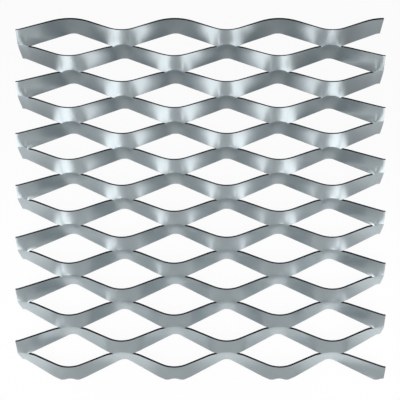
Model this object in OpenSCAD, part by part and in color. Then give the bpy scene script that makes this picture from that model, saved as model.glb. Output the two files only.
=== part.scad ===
// Raised expanded metal sheet, made from one plate that is slit in staggered rows
// and stretched. Wavy strands run along X and meet their neighbours at solid bonds.
// The sheet lies level, with the visible face of every strand tilted towards -Y.
// All lengths are in millimetres and all angles in degrees.

/* [Mesh] */
// Long way of a diamond, from bond to bond along X
long_pitch = 110; // [90:1:140]
// Short way of a diamond, from bond to bond along Y
short_pitch = 54; // [46:1:70]
// Number of half diamonds along X
half_diamond_count = 7; // [3:1:8]
// Number of strands along Y
strand_count = 14; // [4:1:15]

/* [Strand] */
// Width of a strand, from slit to slit across the plate
strand_w = 19; // [14:0.5:22]
// Thickness of the plate
sheet_t = 2; // [1:0.1:3]
// Tilt of the strand at its troughs, where it meets the next strand below
trough_tilt = 35; // [25:1:50]
// Tilt of the strand at its crests, where it meets the next strand above
crest_tilt = 62; // [50:1:75]

/* [Bonds] */
// Uncut length of a bond, between the ends of two slits
bond_l = 18.5; // [12:0.5:24]
// Height of the low arch that a bond line follows between its slit ends
bond_arch = 4; // [0:0.5:6]

/* [Bends] */
// Length over which the upper edge bends on each side of a crest
upper_crest_bend = 9; // [4:0.5:14]
// Length over which the upper edge bends on each side of a trough
upper_trough_bend = 14; // [4:0.5:16]
// Straight length of the lower edge under a crest
nose_l = 1.5; // [0.5:0.5:6]
// Length over which the lower edge bends on each side of that nose
nose_bend = 4; // [2:0.5:10]
// Length over which the lower edge bends beside a bond
heel_bend = 1; // [0.5:0.5:6]
// Length of the lower edge beside a bond that is already as high as the bond
heel_l = 6; // [0:0.5:10]

/* [Free edges] */
// Extra width of the first strand at its crests, where no strand above shares the metal
edge_margin = 3.5; // [0:0.5:6]
// Length over which the first strand's upper edge bends on each side of a crest
edge_crest_bend = 20; // [10:0.5:24]
// Length over which an upper edge bends towards a trough that lies on a cut side
cut_trough_bend = 5; // [2:0.5:16]
// Length of the notch in each parted bond of the last strand
notch_l = 12; // [4:0.5:12]
// Depth of that notch
notch_d = 1.8; // [0:0.1:3]

/* [Smoothness] */
// Lofted steps along half a bond
bond_steps = 4; // [2:1:5]
// Lofted steps along the leg between two bonds
leg_steps = 5; // [3:1:6]

/* [Hidden] */

half_long = long_pitch / 2;
half_short = short_pitch / 2;
half_bond = bond_l / 2;
leg_l = half_long - bond_l;
half_steps = 2 * bond_steps + leg_steps;
last_step = half_diamond_count * half_steps;
last_strand = strand_count - 1;

// Directions in a section across a strand of a given tilt: up its width, and out of its front face
function across(tilt) = [0, cos(tilt), sin(tilt)];
function outward(tilt) = [0, -sin(tilt), cos(tilt)];

// Edges of a strand at a crest and at a trough, measured from the bond line above the strand
upper_crest = [0, 0, 0];
lower_crest = -strand_w * across(crest_tilt);
lower_trough = [0, -half_short, 0];
upper_trough = lower_trough + strand_w * across(trough_tilt);
free_crest = upper_crest + edge_margin * across(crest_tilt);
upper_fall = upper_trough - upper_crest;
lower_fall = lower_trough - lower_crest;
free_fall = upper_trough - free_crest;

// Distance of a step from the start of its half diamond: half a bond, a leg and half a bond
function step_x(n) =
    n <= bond_steps ? half_bond * n / bond_steps
    : n <= bond_steps + leg_steps ? half_bond + leg_l * (n - bond_steps) / leg_steps
    : half_long - half_bond * (half_steps - n) / bond_steps;
function section_x(i) = floor(i / half_steps) * half_long + step_x(i % half_steps);

// Even strands start at a trough and odd ones at a crest, so that neighbours meet at every bond
function falling(k, i) = (k + floor(i / half_steps)) % 2 == 1;
function steps_from_crest(k, i) = falling(k, i) ? i % half_steps : half_steps - i % half_steps;
function on_upper_bond(n) = n <= bond_steps;
function on_lower_bond(n) = n >= half_steps - bond_steps;

// A wave falls from 0 at a crest to 1 at a trough over half a diamond. It is level, bends,
// runs straight, bends back and is level again; bends holds the length of each but the straight
function steepness(bends) = 1 / (half_long - bends[0] - bends[3] - (bends[1] + bends[2]) / 2);
function wave(s, bends) =
    let (past = s - bends[0], left = half_long - bends[3] - s)
    past <= 0 ? 0
    : left <= 0 ? 1
    : past < bends[1] ? steepness(bends) * past * past / (2 * bends[1])
    : left < bends[2] ? 1 - steepness(bends) * left * left / (2 * bends[2])
    : steepness(bends) * (past - bends[1] / 2);
function wave_rate(s, bends) =
    let (past = s - bends[0], left = half_long - bends[3] - s)
    max(0, steepness(bends) * min(1, past / bends[1], left / bends[2]));

// A strand rises from a trough on the left cut, or falls to a trough on the right cut
function from_cut_trough(k, i) = i < half_steps && !falling(k, i);
function to_cut_trough(k, i) = i >= last_step - half_steps && i < last_step && falling(k, i);
function trough_bend(k, i) =
    from_cut_trough(k, i) || to_cut_trough(k, i) ? cut_trough_bend : upper_trough_bend;

// Bends of the edges. The first strand's upper edge has no bond, so it runs in one plain wave
function upper_bends(k, i) =
    k == 0 ? [0, edge_crest_bend, trough_bend(k, i), 0]
    : [half_bond, upper_crest_bend, trough_bend(k, i), 0];
lower_bends = [nose_l / 2, nose_bend, heel_bend, half_bond];
lift_bends = [nose_l / 2, nose_bend, heel_bend, half_bond + heel_l];

// The lower edge moves towards the bond in one wave and rises to its height in a shorter one
function lower_path(s) = [0, lower_fall[1] * wave(s, lower_bends), lower_fall[2] * wave(s, lift_bends)];
function lower_run(s) =
    [0, lower_fall[1] * wave_rate(s, lower_bends), lower_fall[2] * wave_rate(s, lift_bends)];

// The bond line rises in a low arch, in the plane of the strand below it. Where the last strand
// was parted from the plate, its bonds keep a short notch in their own plane instead
function bow(d, length, height) = max(0, height * (1 - pow(2 * d / length, 2)));
function arch(d) = bow(d, bond_l, bond_arch) * across(crest_tilt);
function notch(d) = bow(d, notch_l, notch_d) * across(trough_tilt);
function upper_edge(k, i, s) =
    k == 0 ? free_crest + free_fall * wave(s, upper_bends(k, i))
    : upper_crest + upper_fall * wave(s, upper_bends(k, i)) + arch(s);
function lower_edge(k, s) =
    lower_crest + lower_path(s)
    + (k == last_strand ? notch(half_long - s) : arch(half_long - s));

// Outward normal of the front face along one edge, from the edge's run and the strand's width
function unit(v) = v / norm(v);
function edge_normal(k, i, s, run) =
    unit(cross([1, 0, 0] + run, unit(upper_edge(k, i, s) - lower_edge(k, s))));
function upper_normal(k, i, s) =
    edge_normal(k, i, s, (k == 0 ? free_fall : upper_fall) * wave_rate(s, upper_bends(k, i)));
function lower_normal(k, i, s) = edge_normal(k, i, s, lower_run(s));

// Step from a front edge through the plate to its back edge; the strands at a bond share one mitre
mitre_tilt = (trough_tilt + crest_tilt) / 2;
mitre_t = sheet_t / cos((crest_tilt - trough_tilt) / 2);
mitre_depth = -mitre_t * outward(mitre_tilt);
function upper_depth(k, i, n, s) =
    k > 0 && on_upper_bond(n) ? mitre_depth : -sheet_t * upper_normal(k, i, s);
function lower_depth(k, i, n, s) =
    k < last_strand && on_lower_bond(n) ? mitre_depth : -sheet_t * lower_normal(k, i, s);

// The four corners of strand k at section i: upper front, upper back, lower front, lower back.
// A rising half wave is the mirror image of a falling one
function mirrored(v, flip) = flip ? [-v[0], v[1], v[2]] : v;
function section(k, i) =
    let (
        n = steps_from_crest(k, i),
        s = step_x(n),
        rising = !falling(k, i),
        upper = [section_x(i), -k * half_short, 0] + upper_edge(k, i, s),
        lower = [section_x(i), -k * half_short, 0] + lower_edge(k, s)
    )
    [
        upper,
        upper + mirrored(upper_depth(k, i, n, s), rising),
        lower,
        lower + mirrored(lower_depth(k, i, n, s), rising)
    ];

corners = [for (k = [0:last_strand], i = [0:last_step]) each section(k, i)];
reach_y = [for (p = corners) p[1]];
reach_z = [for (p = corners) p[2]];
base_centre = [half_diamond_count * half_long / 2, (min(reach_y) + max(reach_y)) / 2, min(reach_z)];
points = [for (p = corners) p - base_centre];

// Corner numbers. Inside a bond, the lower edge of a strand is the upper edge of the next
function bonded_above(k, i) = k > 0 && on_upper_bond(steps_from_crest(k, i));
function bonded_below(k, i) = k < last_strand && on_lower_bond(steps_from_crest(k, i));
function first_corner(k, i) = 4 * (k * (last_step + 1) + i);
function upper_front(k, i) = first_corner(k, i);
function upper_back(k, i) = first_corner(k, i) + 1;
function lower_front(k, i) = bonded_below(k, i) ? upper_front(k + 1, i) : first_corner(k, i) + 2;
function lower_back(k, i) = bonded_below(k, i) ? upper_back(k + 1, i) : first_corner(k, i) + 3;

// A four-sided face as two triangles, mirrored from one half diamond to the next
function halves(a, b, c, d, flip) = flip ? [[a, b, d], [b, c, d]] : [[a, b, c], [a, c, d]];

// Faces of strand k between section i and the next: front, back and the two sheared edges
function front_face(k, i) =
    halves(upper_front(k, i), upper_front(k, i + 1), lower_front(k, i + 1), lower_front(k, i), falling(k, i));
function back_face(k, i) =
    halves(lower_back(k, i), lower_back(k, i + 1), upper_back(k, i + 1), upper_back(k, i), falling(k, i));
function upper_shear(k, i) =
    bonded_above(k, i) && bonded_above(k, i + 1) ? []
    : halves(upper_back(k, i), upper_back(k, i + 1), upper_front(k, i + 1), upper_front(k, i), falling(k, i));
function lower_shear(k, i) =
    bonded_below(k, i) && bonded_below(k, i + 1) ? []
    : halves(lower_front(k, i), lower_front(k, i + 1), lower_back(k, i + 1), lower_back(k, i), falling(k, i));

strand_faces = [
    for (k = [0:last_strand], i = [0:last_step - 1])
        each concat(front_face(k, i), back_face(k, i), upper_shear(k, i), lower_shear(k, i))
];
left_ends = [
    for (k = [0:last_strand])
        each halves(upper_front(k, 0), lower_front(k, 0), lower_back(k, 0), upper_back(k, 0), false)
];
right_ends = [
    for (k = [0:last_strand], i = [last_step])
        each halves(upper_back(k, i), lower_back(k, i), lower_front(k, i), upper_front(k, i), false)
];

// The whole sheet: lofted strands that share their bonds, as one closed surface
module expanded_sheet() {
    color([0.56, 0.62, 0.66])
        polyhedron(points = points, faces = concat(strand_faces, left_ends, right_ends));
}

expanded_sheet();
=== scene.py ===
"""Looks of a raised expanded metal sheet.

It is one plate of zinc-coated steel, slit in staggered rows and stretched.
"""

from __future__ import annotations

import logging
import math
from dataclasses import dataclass, field
from enum import Enum
from typing import Any, Mapping

import bpy
import numpy as np
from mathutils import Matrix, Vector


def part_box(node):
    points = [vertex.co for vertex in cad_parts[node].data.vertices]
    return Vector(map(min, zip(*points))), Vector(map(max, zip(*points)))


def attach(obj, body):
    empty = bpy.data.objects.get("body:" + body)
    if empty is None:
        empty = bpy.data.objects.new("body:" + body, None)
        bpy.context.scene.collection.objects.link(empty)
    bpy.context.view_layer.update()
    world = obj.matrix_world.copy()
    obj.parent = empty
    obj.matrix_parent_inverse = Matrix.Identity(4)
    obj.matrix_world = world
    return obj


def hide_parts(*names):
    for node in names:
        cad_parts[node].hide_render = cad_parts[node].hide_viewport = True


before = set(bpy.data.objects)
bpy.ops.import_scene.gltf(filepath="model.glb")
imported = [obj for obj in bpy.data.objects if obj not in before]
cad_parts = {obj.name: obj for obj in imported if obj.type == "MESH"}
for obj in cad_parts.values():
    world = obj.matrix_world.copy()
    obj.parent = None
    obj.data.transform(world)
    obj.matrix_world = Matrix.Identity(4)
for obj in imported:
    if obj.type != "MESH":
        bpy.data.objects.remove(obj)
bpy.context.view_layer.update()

LOG = logging.getLogger("expanded_sheet")
MM = 0.001
# Sections nearer to the end of a bond than this belong to the bond
TOUCH = 1e-9
NODE = "expanded_sheet"

Array = np.ndarray
Colour = tuple[float, float, float]
Point = tuple[float, float, float]


class Skin(Enum):
    """Kinds of surface on the sheet, with the value that the mesh attribute holds for each. The cut
    kind turns the colour near black as painted shade, and is also given to the upper front corner of
    a free edge.
    """

    ROLLED = 0.0
    # Cut faces, and the painted shade that reaches over the upper front corner.
    SHEARED = 1.0


class Side(Enum):
    """The two sides of the sheet that a light panel stands on, with the sign of X there."""

    LEFT = -1.0
    RIGHT = 1.0


class Scalar:
    """A value socket whose arithmetic adds Math nodes."""

    def __init__(self, bench: ShaderBench, socket: bpy.types.NodeSocket) -> None:
        """Wrap a socket of the bench's node tree."""
        self.bench = bench
        self.socket = socket

    def math(self, operation: str, first: Scalar | float, second: Scalar | float) -> Scalar:
        """Add one Math node.

        Args:
            operation: name of the Math node's operation.
            first: left operand.
            second: right operand.

        Returns:
            The wrapped result.
        """
        node = self.bench.node("ShaderNodeMath", {"operation": operation}, {0: first, 1: second})
        return Scalar(self.bench, node.outputs[0])

    def __add__(self, other: Scalar | float) -> Scalar:
        """Sum of the two."""
        return self.math("ADD", self, other)

    def __radd__(self, other: float) -> Scalar:
        """Sum with a number on the left."""
        return self.math("ADD", other, self)

    def __sub__(self, other: Scalar | float) -> Scalar:
        """Difference of the two."""
        return self.math("SUBTRACT", self, other)

    def __rsub__(self, other: float) -> Scalar:
        """Difference with a number on the left."""
        return self.math("SUBTRACT", other, self)

    def __mul__(self, other: Scalar | float) -> Scalar:
        """Product of the two."""
        return self.math("MULTIPLY", self, other)

    def __rmul__(self, other: float) -> Scalar:
        """Product with a number on the left."""
        return self.math("MULTIPLY", other, self)

    def larger(self, other: Scalar | float) -> Scalar:
        """The larger of the two."""
        return self.math("MAXIMUM", self, other)


class ShaderBench:
    """A node tree with one method that adds nodes."""

    MIX_LOW, MIX_HIGH, MIX_RESULT = 6, 7, 2

    def __init__(self, tree: bpy.types.NodeTree) -> None:
        """Empty the tree and work in it."""
        tree.nodes.clear()
        self.tree = tree

    def node(
        self, kind: str, settings: Mapping[str, Any], sockets: Mapping[int | str, Any]
    ) -> bpy.types.Node:
        """Add a node, set it up, then fill or link its sockets.

        Args:
            kind: type name of the node.
            settings: properties of the node.
            sockets: values, sockets or wrapped sockets by input name or number.

        Returns:
            The new node.
        """
        node = self.tree.nodes.new(kind)
        for name, value in settings.items():
            setattr(node, name, value)
        for key, value in sockets.items():
            target = node.inputs[key]
            source = value.socket if isinstance(value, Scalar) else value
            if isinstance(source, bpy.types.NodeSocket):
                self.tree.links.new(source, target)
            else:
                target.default_value = source
        return node

    def scalar(self, node: bpy.types.Node, output: int | str = 0) -> Scalar:
        """Wrap an output of a node for arithmetic."""
        return Scalar(self, node.outputs[output])

    def mix_colour(self, factor: Scalar, low: Any, high: Any) -> bpy.types.NodeSocket:
        """Blend two colours.

        Args:
            factor: share of the second colour.
            low: first colour, or a colour socket.
            high: second colour, or a colour socket.

        Returns:
            The blended colour's socket.
        """
        low, high = (
            colour if isinstance(colour, bpy.types.NodeSocket) else (*colour, 1.0)
            for colour in (low, high)
        )
        fill = {"Factor": factor, self.MIX_LOW: low, self.MIX_HIGH: high}
        node = self.node("ShaderNodeMix", {"data_type": "RGBA"}, fill)
        return node.outputs[self.MIX_RESULT]


@dataclass(frozen=True)
class Mottle:
    """A noise pattern in the coat."""

    scale: float
    detail: float
    roughness: float

    def pattern(self, bench: ShaderBench, place: bpy.types.NodeSocket) -> Scalar:
        """Add the pattern.

        Args:
            bench: tree of the material.
            place: coordinates that the pattern follows.

        Returns:
            The pattern's value.
        """
        fill = {
            "Vector": place,
            "Scale": self.scale,
            "Detail": self.detail,
            "Roughness": self.roughness,
        }
        return bench.scalar(bench.node("ShaderNodeTexNoise", {}, fill))


@dataclass(frozen=True)
class ZincCoat:
    """Satin zinc on the rolled faces, and uncoated steel along the cut edges, painted near black as
    painted shade.
    """

    pale: Colour = (0.62, 0.68, 0.70)
    deep: Colour = (0.57, 0.635, 0.66)
    # Cut-edge colour: the uncoated steel is real, and its near-black tone is painted shade.
    bare: Colour = (0.022, 0.023, 0.025)
    roughness: float = 0.33
    roughness_spread: float = 0.06
    bare_roughness: float = 0.22
    cloud: Mottle = Mottle(38.0, 3.0, 0.55)
    grain: Mottle = Mottle(900.0, 2.0, 0.5)
    grain_height: float = 0.02 * MM
    grain_strength: float = 0.1

    def material(self) -> bpy.types.Material:
        """Make the material of the sheet.

        Returns:
            A metal whose tone drifts in soft clouds, with a fine grain, and painted shade in near
            black on the cut edges and the upper front corners beside them.
        """
        coat = bpy.data.materials.new("satin_zinc_coat")
        coat.use_nodes = True
        bench = ShaderBench(coat.node_tree)
        place = bench.node("ShaderNodeTexCoord", {}, {}).outputs["Object"]
        cloud = self.cloud.pattern(bench, place)
        grain = self.grain.pattern(bench, place)
        edge = bench.node("ShaderNodeAttribute", {"attribute_name": "sheared"}, {})
        sheared = bench.scalar(edge, "Fac")
        zinc = bench.mix_colour(cloud, self.deep, self.pale)
        # Painted shade: where the attribute is 1 the colour turns near black, on the cut faces and
        # on the upper front corners beside them.
        colour = bench.mix_colour(sheared, zinc, self.bare)
        rough = self.roughness + (cloud - 0.5) * self.roughness_spread
        bump = bench.node(
            "ShaderNodeBump",
            {},
            {"Strength": self.grain_strength, "Distance": self.grain_height, "Height": grain},
        )
        shader = bench.node(
            "ShaderNodeBsdfPrincipled",
            {},
            {
                "Base Color": colour,
                "Roughness": rough + sheared * self.bare_roughness,
                "Metallic": 1.0,
                "Normal": bump.outputs["Normal"],
            },
        )
        bench.node("ShaderNodeOutputMaterial", {}, {"Surface": shader.outputs[0]})
        return coat


@dataclass
class Bends:
    """Lengths along half a diamond of a wave: level, bend, bend back and level again.

    Each is one number, or one for every row across the strand.
    """

    level_top: Array | float
    bend_top: Array | float
    bend_foot: Array | float
    level_foot: Array | float


@dataclass
class ExpandedSheet:
    """The sheet: wavy strands along X that twist from crest to trough and share solid bonds.

    Lengths are in metres and angles in degrees.
    """

    # Mesh and strands
    long_pitch: float = 110 * MM
    short_pitch: float = 54 * MM
    half_diamond_count: int = 7
    strand_count: int = 14
    strand_w: float = 19 * MM
    sheet_t: float = 2 * MM
    trough_tilt: float = 35.0
    crest_tilt: float = 62.0
    # Bonds and bends of the edges
    bond_l: float = 18.5 * MM
    bond_arch: float = 4 * MM
    upper_crest_bend: float = 9 * MM
    upper_trough_bend: float = 14 * MM
    nose_l: float = 1.5 * MM
    nose_bend: float = 4 * MM
    heel_bend: float = 1 * MM
    # Free edges and cut sides
    edge_margin: float = 3.5 * MM
    edge_crest_bend: float = 20 * MM
    notch_l: float = 12 * MM
    notch_d: float = 1.8 * MM
    cut_trough_bend: float = 5 * MM
    cut_ease: float = 10 * MM
    cut_decay: int = 3
    cut_curl: float = 0.2
    # Softer bends and the curl across the faces
    crest_ease: float = 6 * MM
    nose_ease: float = 13 * MM
    heel_ease: float = 17 * MM
    curl_rise: float = 3.2 * MM
    curl_fade: float = 9 * MM
    curl_power: float = 1.4
    # Round folds at the bonds and round corners of the edges
    arch_decay: int = 3
    fold_reach: float = 8 * MM
    fold_fade: float = 4 * MM
    mitre_fade: float = 4 * MM
    edge_round: float = 0.25 * MM
    sharp_angle: float = 60.0
    # Steps along half a diamond, and rows as shares of the width
    bond_steps: int = 8
    leg_steps: int = 14
    rows: tuple[float, ...] = (
        0.0, 0.02, 0.08, 0.16, 0.26, 0.40, 0.60, 0.74, 0.84, 0.92, 0.98, 1.0
    )
    coat: ZincCoat = field(default_factory=ZincCoat)

    @property
    def half_long(self) -> float:
        """Length of half a diamond along X."""
        return self.long_pitch / 2

    @property
    def half_bond(self) -> float:
        """Half the uncut length of a bond."""
        return self.bond_l / 2

    @property
    def mitre_tilt(self) -> float:
        """Tilt of the mitre that two strands share at a bond."""
        return (self.crest_tilt + self.trough_tilt) / 2

    @property
    def lower_crest(self) -> Array:
        """Lower edge of a strand under a crest, measured from the bond line above."""
        return -self.strand_w * self.across(self.crest_tilt)

    @property
    def lower_trough(self) -> Array:
        """Lower edge of a strand at a trough, which is the bond line below."""
        return np.array([0.0, -self.short_pitch / 2, 0.0])

    @property
    def upper_trough(self) -> Array:
        """Upper edge of a strand at a trough."""
        return self.lower_trough + self.strand_w * self.across(self.trough_tilt)

    @staticmethod
    def across(tilt: float) -> Array:
        """Direction up the width of a strand of a given tilt."""
        return np.array([0.0, math.cos(math.radians(tilt)), math.sin(math.radians(tilt))])

    @staticmethod
    def outward(tilt: float) -> Array:
        """Direction out of the front face of a strand of a given tilt."""
        return np.array([0.0, -math.sin(math.radians(tilt)), math.cos(math.radians(tilt))])

    @staticmethod
    def ease(t: Array) -> Array:
        """Smooth step from 0 to 1: three squares less two cubes."""
        t = np.clip(t, 0, 1)
        return t * t * (3 - 2 * t)

    @staticmethod
    def bow(d: Array, length: float, height: float) -> Array:
        """Low parabola of a given length and height, at distances d from its middle."""
        return np.maximum(0, height * (1 - (2 * d / length) ** 2))[..., None]

    def arch(self, d: Array) -> Array:
        """Arch of a bond line, in the plane of the strand below it."""
        return self.bow(d, self.bond_l, self.bond_arch) * self.across(self.crest_tilt)

    def notch(self, d: Array) -> Array:
        """Notch that a parted bond of the last strand keeps in its own plane."""
        return self.bow(d, self.notch_l, self.notch_d) * self.across(self.trough_tilt)

    def run(self) -> Array:
        """Steps along half a diamond: even over half a bond, eased over the leg, then even again.

        Returns:
            Distances from the start of the half diamond, the last one left out.
        """
        bond = np.arange(self.bond_steps) / self.bond_steps * self.half_bond
        ease = 0.5 - 0.5 * np.cos(np.pi * np.arange(self.leg_steps) / self.leg_steps)
        leg = self.half_bond + (self.half_long - self.bond_l) * ease
        return np.concatenate([bond, leg, self.half_long - self.half_bond + bond])

    def sections(self) -> tuple[Array, Array, Array, Array]:
        """Places of the sections along every strand.

        Returns:
            X of each section, distance from the crest for each strand and section, the sign of X
            along which that strand falls there, and the mask of the half diamonds whose trough
            lies on a cut side.
        """
        run = self.run()
        halves = np.arange(self.half_diamond_count)
        x = (halves[:, None] * self.half_long + run).ravel()
        local = np.tile(run, self.half_diamond_count)
        count = np.repeat(halves, run.size)
        x = np.append(x, self.half_diamond_count * self.half_long)
        local = np.append(local, self.half_long)
        count = np.append(count, halves[-1])
        falling = (np.arange(self.strand_count)[:, None] + count) % 2 == 1
        s = np.where(falling, local, self.half_long - local)
        on_cut = np.where(falling, count == halves[-1], count == 0)
        return x, s, np.where(falling, 1.0, -1.0), on_cut

    def past_bonds(self, s: Array) -> tuple[Array, Array]:
        """Distances past the ends of the bonds above and below, negative inside a bond.

        The first strand has no bond above and the last one none below, so theirs are long.

        Args:
            s: distances from the crest, by strand and section.

        Returns:
            The distances from the bond above, and those from the bond below.
        """
        k = np.arange(self.strand_count)[:, None]
        above = np.where(k > 0, s - self.half_bond, self.long_pitch)
        short = self.half_long - self.half_bond - s
        return above, np.where(k < self.strand_count - 1, short, self.long_pitch)

    def wave(self, s: Array, bends: Bends) -> tuple[Array, Array]:
        """Fall of an edge from 0 at a crest to 1 at a trough, and its rate.

        It is level, bends in a parabola, runs straight, bends back in a parabola and is level
        again.

        Args:
            s: distances from the crest along X.
            bends: lengths of the level and bent stretches.

        Returns:
            The fall and its slope at each distance.
        """
        past = s - bends.level_top
        left = self.half_long - bends.level_foot - s
        steep = 1 / (past + left - (bends.bend_top + bends.bend_foot) / 2)
        fall = steep * (past - bends.bend_top / 2)
        fall = np.where(past < bends.bend_top, steep * past**2 / (2 * bends.bend_top), fall)
        fall = np.where(left < bends.bend_foot, 1 - steep * left**2 / (2 * bends.bend_foot), fall)
        fall = np.where(past <= 0, 0.0, np.where(left <= 0, 1.0, fall))
        rate = steep * np.minimum(1, np.minimum(past / bends.bend_top, left / bends.bend_foot))
        return fall, np.maximum(0, rate)

    def upper_wave(self, s: Array, rows: Array, on_cut: Array) -> tuple[Array, Array]:
        """Wave of the upper edge, as each row across the face follows it.

        Away from the edge it bends over a longer length at a crest, and runs nearly straight up
        to a cut side. The arch of the bond dies out towards the lower edge. The first strand has
        no bond there and falls from its own margin in one plain wave.

        Args:
            s: distances from the crest, with a last axis for the rows.
            rows: shares of the width from the upper edge.
            on_cut: mask of the half diamonds whose trough lies on a cut side, with that axis.

        Returns:
            Points by strand, section and row, and the fall of the edge for each unit of X.
        """
        spare_bend = self.cut_trough_bend - self.heel_bend
        cut_bend = self.heel_bend + spare_bend * (1 - rows) ** self.cut_decay
        trough_bend = np.where(on_cut, cut_bend, self.upper_trough_bend)
        ease = self.crest_ease * rows
        bends = Bends(self.half_bond - ease / 2, self.upper_crest_bend + ease, trough_bend, 0.0)
        fall, rate = self.wave(s, bends)
        bond_line = self.arch(s) * (1 - rows[:, None]) ** (self.arch_decay - 1)
        points = fall[..., None] * self.upper_trough + bond_line
        run = rate[:, :, :1] * self.upper_trough

        free_crest = self.edge_margin * self.across(self.crest_tilt)
        free_fall = self.upper_trough - free_crest
        fall, rate = self.wave(s[0], Bends(0.0, self.edge_crest_bend, trough_bend[0], 0.0))
        points[0] = free_crest + fall[..., None] * free_fall
        run[0] = rate[:, :1] * free_fall
        return points, run

    def lower_wave(self, s: Array, rows: Array, on_cut: Array) -> tuple[Array, Array]:
        """Wave of the lower edge, as each row across the face follows it.

        Away from the edge it bends over longer lengths. Beside a cut side its level stretch
        shrinks with a power of the share of the width, so that the face runs nearly straight up
        to the cut. The arch of the bond, or the notch of the last strand, dies out towards the
        upper edge.

        Args:
            s: distances from the crest, with a last axis for the rows.
            rows: shares of the width from the upper edge.
            on_cut: mask of the half diamonds whose trough lies on a cut side, with that axis.

        Returns:
            Points by strand, section and row, and the fall of the edge for each unit of X.
        """
        ease = np.where(on_cut, self.cut_ease, self.heel_ease) * (1 - rows)
        cut_level = self.half_bond * rows**self.cut_decay
        bends = Bends(
            self.nose_l / 2,
            self.nose_bend + self.nose_ease * (1 - rows),
            self.heel_bend + ease,
            np.where(on_cut, cut_level, self.half_bond - ease / 2),
        )
        fall, rate = self.wave(s, bends)
        whole_fall = self.lower_trough - self.lower_crest
        from_trough = self.half_long - s
        bond_line = np.concatenate([self.arch(from_trough[:-1]), self.notch(from_trough[-1:])])
        bond_line = bond_line * rows[:, None] ** (self.arch_decay - 1)
        points = self.lower_crest + fall[..., None] * whole_fall + bond_line
        return points, rate[:, :, -1:] * whole_fall

    def curl(self, s: Array, rows: Array, on_cut: Array) -> Array:
        """Height by which the lower part of a leg curls up beside a bond.

        Along the edge it grows evenly from the crest and fades out before the bond. Across the
        strand it grows with a power of the share of the width. Legs that run to a cut side keep
        a share of it.

        Args:
            s: distances from the crest, with a last axis for the rows.
            rows: shares of the width from the upper edge.
            on_cut: mask of the half diamonds whose trough lies on a cut side, with that axis.

        Returns:
            Heights by strand, section and row.
        """
        leg = self.half_long - self.half_bond
        along = np.clip(s / leg, 0, 1) * self.ease((leg - s) / self.curl_fade)
        rise = self.curl_rise * np.where(on_cut, self.cut_curl, 1.0)
        return rise * along * rows**self.curl_power

    def ruled(self, s: Array, rows: Array, on_cut: Array) -> tuple[Array, Array, Array]:
        """Front face of every strand, measured from the bond line above it.

        A point is the upper wave times (1 - v) plus the lower wave times v, with v the share of
        the width, raised by the curl.

        Args:
            s: distances from the crest, by strand and section.
            rows: shares of the width from the upper edge.
            on_cut: mask of the half diamonds whose trough lies on a cut side.

        Returns:
            Points by strand, section and row, and the fall of the upper and the lower edge for
            each unit of X.
        """
        s, on_cut, in_row = s[..., None], on_cut[..., None], rows[:, None]
        upper, upper_run = self.upper_wave(s, rows, on_cut)
        lower, lower_run = self.lower_wave(s, rows, on_cut)
        front = upper * (1 - in_row) + lower * in_row
        front[..., 2] += self.curl(s, rows, on_cut)
        return front, upper_run, lower_run

    def depth(self, run: Array, width: Array, way: Array, past_bond: Array) -> Array:
        """Step through the plate along one edge.

        It is the plate's thickness along the front's normal, which is the cross product of the
        edge's run and the strand's width, and turns into the shared mitre at a bond.

        Args:
            run: fall of the edge for each unit of X.
            width: direction up the width.
            way: sign of X along which the strand falls.
            past_bond: distance past the end of the bond.

        Returns:
            The step at every section.
        """
        normal = np.cross(run + np.array([1.0, 0.0, 0.0]), width)
        normal /= np.linalg.norm(normal, axis=-1, keepdims=True)
        normal[..., 0] *= way
        half_fold = math.radians(self.crest_tilt - self.trough_tilt) / 2
        mitre = -self.sheet_t / math.cos(half_fold) * self.outward(self.mitre_tilt)
        share = self.ease(past_bond / self.mitre_fade)[..., None]
        return mitre * (1 - share) - self.sheet_t * normal * share

    def fold(self, q: Array, past_bond: Array) -> Array:
        """Amount by which a face is drawn back at a distance q from the bond line.

        It is (reach - q) squared over four times the reach, and fades out round the bond's ends.

        Args:
            q: distance from the bond line across the strand.
            past_bond: distance past the end of the bond.

        Returns:
            The amount at every point.
        """
        weight = 1 - self.ease((past_bond + self.fold_fade) / (2 * self.fold_fade))
        short = np.maximum(0, self.fold_reach - q)
        return short**2 / (4 * self.fold_reach) * weight[..., None]

    def grid(self) -> tuple[Array, Array, Array]:
        """Front and back points of every strand, as arrays of strand, section and row.

        Each face is ruled between the wave of the upper edge and that of the lower edge. The back
        lies one plate thickness behind, along the front's normal at each edge, and along one
        shared mitre at a bond. Near a bond both faces are drawn back in a parabola, so that the
        fold between two strands is round.

        Returns:
            Front points, back points, and distances from the crest by strand and section.
        """
        x, s, way, on_cut = self.sections()
        rows = np.array(self.rows)
        in_row = rows[:, None]
        front, upper_run, lower_run = self.ruled(s, rows, on_cut)
        above, below = self.past_bonds(s)
        upper_depth = self.depth(upper_run, front[:, :, 0] - front[:, :, 1], way, above)
        lower_depth = self.depth(lower_run, front[:, :, -2] - front[:, :, -1], way, below)
        depth = upper_depth[:, :, None] * (1 - in_row) + lower_depth[:, :, None] * in_row

        reach = np.linalg.norm(front[:, :, 0] - front[:, :, -1], axis=-1, keepdims=True)
        draw = self.fold(reach * rows, above) + self.fold(reach * (1 - rows), below)
        fold_way = self.across(self.trough_tilt) - self.across(self.crest_tilt)
        place = np.zeros((self.strand_count, x.size, 1, 3))
        place[..., 0] = x[:, None]
        place[..., 1] = -np.arange(self.strand_count)[:, None, None] * self.short_pitch / 2
        front = front + draw[..., None] * fold_way + place
        return front, front + depth, s

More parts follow.
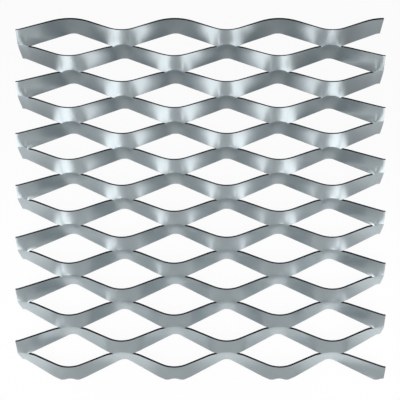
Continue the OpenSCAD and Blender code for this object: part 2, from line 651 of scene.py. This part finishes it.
    def rounded(self, front: Array, back: Array, edge: int, inner: int, free: Array) -> Array:
        """Draw in the corners of one edge and give the two points of its sheared face.

        The corners move in place along the width by the rounding, and the new points stand on
        the straight line between the old corners, the rounding away from each end.

        Args:
            front: front points, changed in place.
            back: back points, changed in place.
            edge: row of the edge.
            inner: row next to it.
            free: 0 on a bond, 1 along the free edge.

        Returns:
            Two points for each strand and section, front one first.
        """
        head = front[:, :, edge].copy()
        tail = back[:, :, edge].copy()
        share = self.edge_round / self.sheet_t
        points = np.stack([head + (tail - head) * share, tail + (head - tail) * share], axis=2)
        inward = front[:, :, inner] - head
        inward /= np.linalg.norm(inward, axis=-1, keepdims=True)
        step = inward * (free * self.edge_round)[..., None]
        front[:, :, edge] += step
        back[:, :, edge] += step
        return points

    def loops(self) -> tuple[Array, Array, Array, Array]:
        """Closed loop of points round every section: front, lower edge, back, upper edge.

        Along a free edge the front and back corners are drawn in by the edge's rounding, and two
        more points stand on the cut face. Its painted shade, a near-black colour, reaches over the
        upper front corner.

        Returns:
            Points of strand, section and loop, the value of the cut-face and painted-shade attribute
            for each, and the masks of the sections that are bonded to the strand above and to the
            strand below.
        """
        front, back, s = self.grid()
        above, below = self.past_bonds(s)
        free_above = self.ease(above / self.fold_fade)
        free_below = self.ease(below / self.fold_fade)
        upper_edge = self.rounded(front, back, 0, 1, free_above)
        lower_edge = self.rounded(front, back, -1, -2, free_below)
        parts = [front, lower_edge, back[:, :, ::-1], upper_edge[:, :, ::-1]]
        points = np.concatenate(parts, axis=2)
        rows = len(self.rows)
        skins = np.full(points.shape[:3], Skin.ROLLED.value)
        # The four points on the cut faces: uncoated steel, with painted shade in its near-black
        # colour.
        skins[:, :, [rows, rows + 1, -2, -1]] = Skin.SHEARED.value
        # Painted shade: along a free edge the upper front corner of the zinc face also turns near
        # black, widening the dark line there.
        skins[:, :, 0] = Skin.SHEARED.value * free_above
        return points, skins, above <= TOUCH, below <= TOUCH

    def faces(self, size: int, above: Array, below: Array) -> Array:
        """Four-sided faces of the whole sheet, by loop places of strand and section.

        Inside a bond the lower places of a strand are the upper places of the next one, and the
        sheared faces between two bonded sections are left out.

        Args:
            size: number of places in a loop.
            above: mask of the sections bonded to the strand above.
            below: mask of the sections bonded to the strand below.

        Returns:
            The faces as rows of four numbers.
        """
        rows = len(self.rows)
        numbers = np.arange(above.size * size).reshape(*above.shape, size)
        lower_places = np.arange(rows - 1, rows + 3)
        upper_places = np.array([0, size - 1, size - 2, size - 3])
        shared = numbers.copy()
        tied = below[:-1, :, None]
        shared[:-1, :, lower_places] = np.where(
            tied, numbers[1:, :, upper_places], numbers[:-1, :, lower_places]
        )
        a, b = shared[:, :-1], shared[:, 1:]
        quads = np.stack([a, b, np.roll(b, -1, axis=2), np.roll(a, -1, axis=2)], axis=-1)
        keep = np.ones(quads.shape[:3], bool)
        both_below = below[:, :-1] & below[:, 1:]
        both_above = above[:, :-1] & above[:, 1:]
        keep[:, :, rows - 1 : rows + 2] &= ~both_below[..., None]
        keep[:, :, size - 3 :] &= ~both_above[..., None]
        return np.concatenate([quads[keep], self.ends(shared, above, below)])

    def ends(self, shared: Array, above: Array, below: Array) -> Array:
        """Faces that close the strands at the two cut sides.

        Args:
            shared: number of each place.
            above: mask of the sections bonded to the strand above.
            below: mask of the sections bonded to the strand below.

        Returns:
            Rows of four numbers, facing outwards.
        """
        rows = len(self.rows)
        size = shared.shape[2]
        front = np.arange(rows - 1)
        back = 2 * rows + 1 - front
        corner = np.arange(4)
        caps = []
        for section, turn in ((0, 1), (-1, -1)):
            ring = shared[:, section]
            strips = np.stack([front, front + 1, back - 1, back], axis=-1)
            foot = ring[~below[:, section]][:, rows - 1 + corner]
            head = ring[~above[:, section]][:, (size - 3 + corner) % size]
            caps += [cap[:, ::turn] for cap in (ring[:, strips].reshape(-1, 4), foot, head)]
        return np.concatenate(caps)

    def build(self) -> bpy.types.Object:
        """Make the sheet's mesh, place it in the node's box and dress it.

        Returns:
            The sheet's object, at the origin.
        """
        points, skins, above, below = self.loops()
        used, faces = np.unique(self.faces(points.shape[2], above, below), return_inverse=True)
        co = points.reshape(-1, 3)[used]
        low, high = (np.array(corner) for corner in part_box(NODE))
        centre = (co.min(0) + co.max(0)) / 2
        co = co + [*((low + high) / 2 - centre)[:2], low[2] - co[:, 2].min()]

        mesh = bpy.data.meshes.new(NODE + "_skin")
        mesh.from_pydata(co, [], faces.reshape(-1, 4))
        mesh.validate()
        # Attribute for the cut faces and the painted shade on the upper front corners beside them.
        sheared = mesh.attributes.new("sheared", "FLOAT", "POINT")
        sheared.data.foreach_set("value", skins.ravel()[used].astype(np.float32))
        mesh.polygons.foreach_set("use_smooth", np.ones(len(mesh.polygons), bool))
        mesh.set_sharp_from_angle(angle=math.radians(self.sharp_angle))
        mesh.materials.append(self.coat.material())
        mesh.update()
        sheet = bpy.data.objects.new("raised_strands", mesh)
        bpy.context.scene.collection.objects.link(sheet)
        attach(sheet, "root")
        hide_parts(NODE)
        return sheet


@dataclass(frozen=True)
class PaleFloor:
    """A white floor under the sheet, which keeps a faint shadow."""

    size: float = 8.0
    drop: float = 0.2 * MM
    albedo: Colour = (0.82, 0.82, 0.82)
    glow: float = 1.0
    shadow_share: float = 0.05
    gloss_share: float = 0.21

    def build(self) -> bpy.types.Object:
        """Make the floor, a flat square grid of one face.

        Returns:
            The floor's object.
        """
        ends = np.linspace(-self.size / 2, self.size / 2, 2)
        x, y = np.meshgrid(ends, ends)
        co = np.stack([x, y, np.full_like(x, -self.drop)], axis=-1).reshape(-1, 3)
        mesh = bpy.data.meshes.new("floor")
        mesh.from_pydata(co, [], [(0, 1, 3, 2)])
        mesh.materials.append(self.material())
        floor = bpy.data.objects.new("floor", mesh)
        bpy.context.scene.collection.objects.link(floor)
        return floor

    def material(self) -> bpy.types.Material:
        """Make the floor's material.

        Returns:
            Matt white that glows evenly to the eye, and less in the sheet's reflections, with a
            share left to shadow.
        """
        paint = bpy.data.materials.new("floor_white")
        paint.use_nodes = True
        bench = ShaderBench(paint.node_tree)
        rays = bench.node("ShaderNodeLightPath", {}, {})
        seen = bench.scalar(rays, "Is Camera Ray").larger(bench.scalar(rays, "Is Transmission Ray"))
        seen = seen.larger(bench.scalar(rays, "Is Glossy Ray") * self.gloss_share)
        matt = bench.node("ShaderNodeBsdfDiffuse", {}, {"Color": (*self.albedo, 1.0)})
        glow = bench.node("ShaderNodeEmission", {}, {"Strength": self.glow})
        shader = bench.node(
            "ShaderNodeMixShader",
            {},
            {0: seen * (1 - self.shadow_share), 1: matt.outputs[0], 2: glow.outputs[0]},
        )
        bench.node("ShaderNodeOutputMaterial", {}, {"Surface": shader.outputs[0]})
        return paint


def hang_panel(
    name: str, size: tuple[float, float], radiance: float, place: Point, turn: Point
) -> bpy.types.Object:
    """Hang a rectangular light panel that the camera doesn't see.

    Its power is its radiance times pi times its area.

    Args:
        name: name of the panel.
        size: its two sides.
        radiance: its brightness.
        place: its middle.
        turn: its angles about X, Y and Z, from a panel that faces straight down.

    Returns:
        The panel's light object.
    """
    lamp = bpy.data.lights.new(name, "AREA")
    lamp.shape = "RECTANGLE"
    lamp.size, lamp.size_y = size
    lamp.energy = radiance * math.pi * lamp.size * lamp.size_y
    panel = bpy.data.objects.new(name, lamp)
    panel.location = place
    panel.rotation_euler = turn
    panel.visible_camera = False
    bpy.context.scene.collection.objects.link(panel)
    return panel


@dataclass(frozen=True)
class SidePanel:
    """A soft panel along one side of the sheet, which leans inwards like the side of a tent."""

    side: Side
    inner: float
    top: float
    foot: float
    near: float
    far: float
    outer: float = 272 * MM
    radiance: float = 1.3

    def build(self) -> bpy.types.Object:
        """Make the panel.

        Returns:
            The panel's light object.
        """
        run = self.outer - self.inner
        drop = self.top - self.foot
        across = self.side.value * (self.inner + self.outer) / 2
        return hang_panel(
            f"panel_{self.side.name.lower()}",
            (math.hypot(run, drop), self.far - self.near),
            self.radiance,
            (across, (self.near + self.far) / 2, (self.top + self.foot) / 2),
            (0.0, self.side.value * math.atan2(drop, run), 0.0),
        )


@dataclass(frozen=True)
class FrontPanel:
    """A tall dim panel that stands across the near side of the sheet."""

    width: float = 800 * MM
    foot: float = 30 * MM
    top: float = 555 * MM
    near: float = -520 * MM
    radiance: float = 0.17

    def build(self) -> bpy.types.Object:
        """Make the panel.

        Returns:
            The panel's light object.
        """
        return hang_panel(
            "panel_front",
            (self.width, self.top - self.foot),
            self.radiance,
            (0.0, self.near, (self.top + self.foot) / 2),
            (math.radians(90), 0.0, 0.0),
        )


@dataclass(frozen=True)
class TopPanel:
    """A gridded panel high over the near side, which lights the floor and not the strands' gloss."""

    width: float = 700 * MM
    length: float = 160 * MM
    near: float = -230 * MM
    height: float = 800 * MM
    spread: float = 60.0
    radiance: float = 0.95

    def build(self) -> bpy.types.Object:
        """Make the panel.

        Returns:
            The panel's light object.
        """
        panel = hang_panel(
            "panel_top",
            (self.width, self.length),
            self.radiance,
            (0.0, self.near, self.height),
            (0.0, 0.0, 0.0),
        )
        panel.data.spread = math.radians(self.spread)
        return panel


@dataclass(frozen=True)
class Studio:
    """Plain soft light round the sheet, and a camera straight above it."""

    surround: Colour = (0.29, 0.302, 0.31)
    bond_z: float = 17.715 * MM
    height: float = 740 * MM
    camera_x: float = 24.23 * MM
    camera_y: float = -1.0 * MM
    lens: float = 63.15
    sensor: float = 36.0
    shift_x: float = -0.0595
    panels: tuple[SidePanel | FrontPanel | TopPanel, ...] = (
        SidePanel(Side.LEFT, 160 * MM, 240 * MM, 63 * MM, -310 * MM, 40 * MM),
        SidePanel(Side.RIGHT, 128 * MM, 230 * MM, 75 * MM, -270 * MM, -5 * MM),
        FrontPanel(),
        TopPanel(),
    )

    def build(self) -> None:
        """Set up the world, the panels, the camera and the plain view."""
        scene = bpy.context.scene
        world = bpy.data.worlds.new("surround")
        scene.world = world
        world.use_nodes = True
        bench = ShaderBench(world.node_tree)
        sky = bench.node("ShaderNodeBackground", {}, {"Color": (*self.surround, 1.0)})
        bench.node("ShaderNodeOutputWorld", {}, {"Surface": sky.outputs[0]})
        for panel in self.panels:
            panel.build()
        lens = bpy.data.cameras.new("view")
        lens.lens = self.lens
        lens.sensor_width = self.sensor
        lens.shift_x = self.shift_x
        camera = bpy.data.objects.new("view", lens)
        camera.location = (self.camera_x, self.camera_y, self.bond_z + self.height)
        scene.collection.objects.link(camera)
        scene.camera = camera
        scene.view_settings.view_transform = "Standard"


def main() -> None:
    """Build the sheet, the floor and the studio in order."""
    logging.basicConfig(level=logging.INFO, format="%(message)s")
    sheet = ExpandedSheet().build()
    LOG.info("%s: %d faces", sheet.name, len(sheet.data.polygons))
    floor = PaleFloor().build()
    LOG.info("%s: stage", floor.name)
    studio = Studio()
    studio.build()
    LOG.info("studio: %d panels and a camera", len(studio.panels))


if __name__ == "__main__":
    main()
